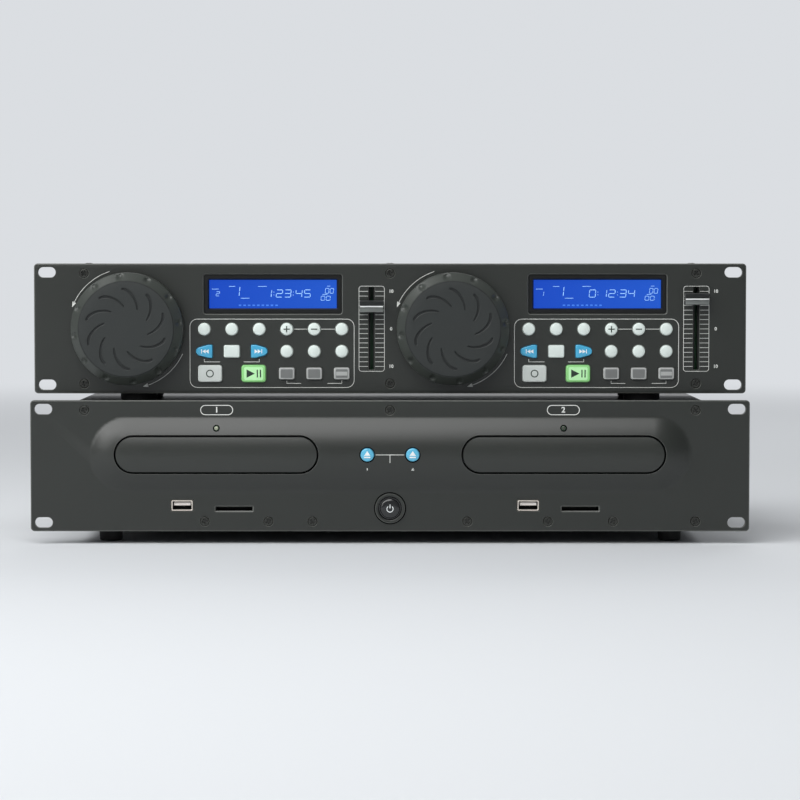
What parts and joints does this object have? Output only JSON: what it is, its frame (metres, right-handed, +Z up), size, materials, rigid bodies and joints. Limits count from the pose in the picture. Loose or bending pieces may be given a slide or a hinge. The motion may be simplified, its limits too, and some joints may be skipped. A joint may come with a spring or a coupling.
{
  "type": "dual disc player",
  "caption": "Rack disc player for disc jockeys: a drive unit with disc trays, and a control unit with jog wheels, keys, displays and pitch faders that stands on it.",
  "frame": {"origin": "on the surface that the drive unit's feet stand on, in the middle of the outer box", "axes": "+Z up, -Y towards the user who faces both fronts, +X to that user's right"},
  "size_m": [0.4826, 0.2714, 0.1887],
  "materials": {
    "panel": "satin black-grey paint with white printing",
    "case": "matt black powder coat",
    "rubber": "matt",
    "screw": "black zinc",
    "drive": "matt black",
    "connector": "matt black with plated metal",
    "usb_metal": "nickel plated",
    "board": "green circuit board",
    "display": "gloss black window frame",
    "wheel": "satin black with a soft-touch pad",
    "knob": "two greys with a white line",
    "door": "satin, as the panel",
    "tray": "matt black",
    "eject": "translucent blue",
    "power": "gloss black with a white sign",
    "key_blue": "translucent, lit from behind",
    "key_white": "translucent white",
    "key_light": "light grey, engraved",
    "key_green": "translucent, lit green",
    "key_grey": "grey with light rims"
  },
  "bodies": {
    "player": {"player_front_panel": "panel", "player_chassis": "case", "player_top_cover": "case", "player_feet": "rubber", "disc_drives": "drive", "media_sockets": "usb_metal", "player_boards": "board", "rear_sockets": "connector", "player_screws": "screw"},
    "controller": {"controller_front_panel": "panel", "controller_housing": "case", "controller_feet": "rubber", "display_frames": "display", "control_boards": "board", "controller_screws": "screw"},
    "jog_wheel_1": {"jog_wheel_1": "wheel"},
    "jog_wheel_2": {"jog_wheel_2": "wheel"},
    "fader_knob_1": {"fader_knob_1": "knob"},
    "fader_knob_2": {"fader_knob_2": "knob"},
    "mode_key_1": {"mode_key_1": "key_white"},
    "time_key_1": {"time_key_1": "key_white"},
    "program_key_1": {"program_key_1": "key_white"},
    "plus_key_1": {"plus_key_1": "key_white"},
    "minus_key_1": {"minus_key_1": "key_white"},
    "pitch_key_1": {"pitch_key_1": "key_white"},
    "skip_back_key_1": {"skip_back_key_1": "key_blue"},
    "stop_key_1": {"stop_key_1": "key_white"},
    "skip_forward_key_1": {"skip_forward_key_1": "key_blue"},
    "bend_down_key_1": {"bend_down_key_1": "key_white"},
    "bend_up_key_1": {"bend_up_key_1": "key_white"},
    "search_key_1": {"search_key_1": "key_white"},
    "cue_key_1": {"cue_key_1": "key_light"},
    "play_key_1": {"play_key_1": "key_green"},
    "loop_in_key_1": {"loop_in_key_1": "key_grey"},
    "loop_out_key_1": {"loop_out_key_1": "key_grey"},
    "reloop_key_1": {"reloop_key_1": "key_grey"},
    "mode_key_2": {"mode_key_2": "key_white"},
    "time_key_2": {"time_key_2": "key_white"},
    "program_key_2": {"program_key_2": "key_white"},
    "plus_key_2": {"plus_key_2": "key_white"},
    "minus_key_2": {"minus_key_2": "key_white"},
    "pitch_key_2": {"pitch_key_2": "key_white"},
    "skip_back_key_2": {"skip_back_key_2": "key_blue"},
    "stop_key_2": {"stop_key_2": "key_white"},
    "skip_forward_key_2": {"skip_forward_key_2": "key_blue"},
    "bend_down_key_2": {"bend_down_key_2": "key_white"},
    "bend_up_key_2": {"bend_up_key_2": "key_white"},
    "search_key_2": {"search_key_2": "key_white"},
    "cue_key_2": {"cue_key_2": "key_light"},
    "play_key_2": {"play_key_2": "key_green"},
    "loop_in_key_2": {"loop_in_key_2": "key_grey"},
    "loop_out_key_2": {"loop_out_key_2": "key_grey"},
    "reloop_key_2": {"reloop_key_2": "key_grey"},
    "eject_button_1": {"eject_button_1": "eject"},
    "eject_button_2": {"eject_button_2": "eject"},
    "power_button": {"power_button": "power"},
    "tray_1": {"tray_1": "tray", "tray_door_1": "door"},
    "tray_2": {"tray_2": "tray", "tray_door_2": "door"}
  },
  "joints": [
    {"name": "controller_lift", "type": "slide", "parent": "player", "child": "controller", "axis": [0, 0, 1], "range_m": [0, 0.12]},
    {"name": "jog_wheel_1_spin", "type": "hinge", "parent": "controller", "child": "jog_wheel_1", "pos_m": [-0.1775, -0.10225, 0.14415], "axis": [0, 1, 0], "continuous": true},
    {"name": "jog_wheel_2_spin", "type": "hinge", "parent": "controller", "child": "jog_wheel_2", "pos_m": [0.0425, -0.10225, 0.14415], "axis": [0, 1, 0], "continuous": true},
    {"name": "fader_knob_1_slide", "type": "slide", "parent": "controller", "child": "fader_knob_1", "axis": [0, 0, 1], "range_m": [-0.0405, 0.0105]},
    {"name": "fader_knob_2_slide", "type": "slide", "parent": "controller", "child": "fader_knob_2", "axis": [0, 0, 1], "range_m": [-0.0455, 0.0055]},
    {"name": "mode_key_1_press", "type": "slide", "parent": "controller", "child": "mode_key_1", "axis": [0, 1, 0], "range_m": [0, 0.0012], "stiffness_N_per_m": 200},
    {"name": "time_key_1_press", "type": "slide", "parent": "controller", "child": "time_key_1", "axis": [0, 1, 0], "range_m": [0, 0.0012], "stiffness_N_per_m": 200},
    {"name": "program_key_1_press", "type": "slide", "parent": "controller", "child": "program_key_1", "axis": [0, 1, 0], "range_m": [0, 0.0012], "stiffness_N_per_m": 200},
    {"name": "plus_key_1_press", "type": "slide", "parent": "controller", "child": "plus_key_1", "axis": [0, 1, 0], "range_m": [0, 0.0012], "stiffness_N_per_m": 200},
    {"name": "minus_key_1_press", "type": "slide", "parent": "controller", "child": "minus_key_1", "axis": [0, 1, 0], "range_m": [0, 0.0012], "stiffness_N_per_m": 200},
    {"name": "pitch_key_1_press", "type": "slide", "parent": "controller", "child": "pitch_key_1", "axis": [0, 1, 0], "range_m": [0, 0.0012], "stiffness_N_per_m": 200},
    {"name": "skip_back_key_1_press", "type": "slide", "parent": "controller", "child": "skip_back_key_1", "axis": [0, 1, 0], "range_m": [0, 0.0012], "stiffness_N_per_m": 200},
    {"name": "stop_key_1_press", "type": "slide", "parent": "controller", "child": "stop_key_1", "axis": [0, 1, 0], "range_m": [0, 0.0012], "stiffness_N_per_m": 200},
    {"name": "skip_forward_key_1_press", "type": "slide", "parent": "controller", "child": "skip_forward_key_1", "axis": [0, 1, 0], "range_m": [0, 0.0012], "stiffness_N_per_m": 200},
    {"name": "bend_down_key_1_press", "type": "slide", "parent": "controller", "child": "bend_down_key_1", "axis": [0, 1, 0], "range_m": [0, 0.0012], "stiffness_N_per_m": 200},
    {"name": "bend_up_key_1_press", "type": "slide", "parent": "controller", "child": "bend_up_key_1", "axis": [0, 1, 0], "range_m": [0, 0.0012], "stiffness_N_per_m": 200},
    {"name": "search_key_1_press", "type": "slide", "parent": "controller", "child": "search_key_1", "axis": [0, 1, 0], "range_m": [0, 0.0012], "stiffness_N_per_m": 200},
    {"name": "cue_key_1_press", "type": "slide", "parent": "controller", "child": "cue_key_1", "axis": [0, 1, 0], "range_m": [0, 0.0012], "stiffness_N_per_m": 200},
    {"name": "play_key_1_press", "type": "slide", "parent": "controller", "child": "play_key_1", "axis": [0, 1, 0], "range_m": [0, 0.0012], "stiffness_N_per_m": 200},
    {"name": "loop_in_key_1_press", "type": "slide", "parent": "controller", "child": "loop_in_key_1", "axis": [0, 1, 0], "range_m": [0, 0.0012], "stiffness_N_per_m": 200},
    {"name": "loop_out_key_1_press", "type": "slide", "parent": "controller", "child": "loop_out_key_1", "axis": [0, 1, 0], "range_m": [0, 0.0012], "stiffness_N_per_m": 200},
    {"name": "reloop_key_1_press", "type": "slide", "parent": "controller", "child": "reloop_key_1", "axis": [0, 1, 0], "range_m": [0, 0.0012], "stiffness_N_per_m": 200},
    {"name": "mode_key_2_press", "type": "slide", "parent": "controller", "child": "mode_key_2", "axis": [0, 1, 0], "range_m": [0, 0.0012], "stiffness_N_per_m": 200},
    {"name": "time_key_2_press", "type": "slide", "parent": "controller", "child": "time_key_2", "axis": [0, 1, 0], "range_m": [0, 0.0012], "stiffness_N_per_m": 200},
    {"name": "program_key_2_press", "type": "slide", "parent": "controller", "child": "program_key_2", "axis": [0, 1, 0], "range_m": [0, 0.0012], "stiffness_N_per_m": 200},
    {"name": "plus_key_2_press", "type": "slide", "parent": "controller", "child": "plus_key_2", "axis": [0, 1, 0], "range_m": [0, 0.0012], "stiffness_N_per_m": 200},
    {"name": "minus_key_2_press", "type": "slide", "parent": "controller", "child": "minus_key_2", "axis": [0, 1, 0], "range_m": [0, 0.0012], "stiffness_N_per_m": 200},
    {"name": "pitch_key_2_press", "type": "slide", "parent": "controller", "child": "pitch_key_2", "axis": [0, 1, 0], "range_m": [0, 0.0012], "stiffness_N_per_m": 200},
    {"name": "skip_back_key_2_press", "type": "slide", "parent": "controller", "child": "skip_back_key_2", "axis": [0, 1, 0], "range_m": [0, 0.0012], "stiffness_N_per_m": 200},
    {"name": "stop_key_2_press", "type": "slide", "parent": "controller", "child": "stop_key_2", "axis": [0, 1, 0], "range_m": [0, 0.0012], "stiffness_N_per_m": 200},
    {"name": "skip_forward_key_2_press", "type": "slide", "parent": "controller", "child": "skip_forward_key_2", "axis": [0, 1, 0], "range_m": [0, 0.0012], "stiffness_N_per_m": 200},
    {"name": "bend_down_key_2_press", "type": "slide", "parent": "controller", "child": "bend_down_key_2", "axis": [0, 1, 0], "range_m": [0, 0.0012], "stiffness_N_per_m": 200},
    {"name": "bend_up_key_2_press", "type": "slide", "parent": "controller", "child": "bend_up_key_2", "axis": [0, 1, 0], "range_m": [0, 0.0012], "stiffness_N_per_m": 200},
    {"name": "search_key_2_press", "type": "slide", "parent": "controller", "child": "search_key_2", "axis": [0, 1, 0], "range_m": [0, 0.0012], "stiffness_N_per_m": 200},
    {"name": "cue_key_2_press", "type": "slide", "parent": "controller", "child": "cue_key_2", "axis": [0, 1, 0], "range_m": [0, 0.0012], "stiffness_N_per_m": 200},
    {"name": "play_key_2_press", "type": "slide", "parent": "controller", "child": "play_key_2", "axis": [0, 1, 0], "range_m": [0, 0.0012], "stiffness_N_per_m": 200},
    {"name": "loop_in_key_2_press", "type": "slide", "parent": "controller", "child": "loop_in_key_2", "axis": [0, 1, 0], "range_m": [0, 0.0012], "stiffness_N_per_m": 200},
    {"name": "loop_out_key_2_press", "type": "slide", "parent": "controller", "child": "loop_out_key_2", "axis": [0, 1, 0], "range_m": [0, 0.0012], "stiffness_N_per_m": 200},
    {"name": "reloop_key_2_press", "type": "slide", "parent": "controller", "child": "reloop_key_2", "axis": [0, 1, 0], "range_m": [0, 0.0012], "stiffness_N_per_m": 200},
    {"name": "eject_button_1_press", "type": "slide", "parent": "player", "child": "eject_button_1", "axis": [0, 1, 0], "range_m": [0, 0.0015], "stiffness_N_per_m": 200},
    {"name": "eject_button_2_press", "type": "slide", "parent": "player", "child": "eject_button_2", "axis": [0, 1, 0], "range_m": [0, 0.0015], "stiffness_N_per_m": 200},
    {"name": "power_button_press", "type": "slide", "parent": "player", "child": "power_button", "axis": [0, 1, 0], "range_m": [0, 0.0025], "stiffness_N_per_m": 300},
    {"name": "tray_1_slide", "type": "slide", "parent": "player", "child": "tray_1", "axis": [0, -1, 0], "range_m": [0, 0.13]},
    {"name": "tray_2_slide", "type": "slide", "parent": "player", "child": "tray_2", "axis": [0, -1, 0], "range_m": [0, 0.13]}
  ]
}
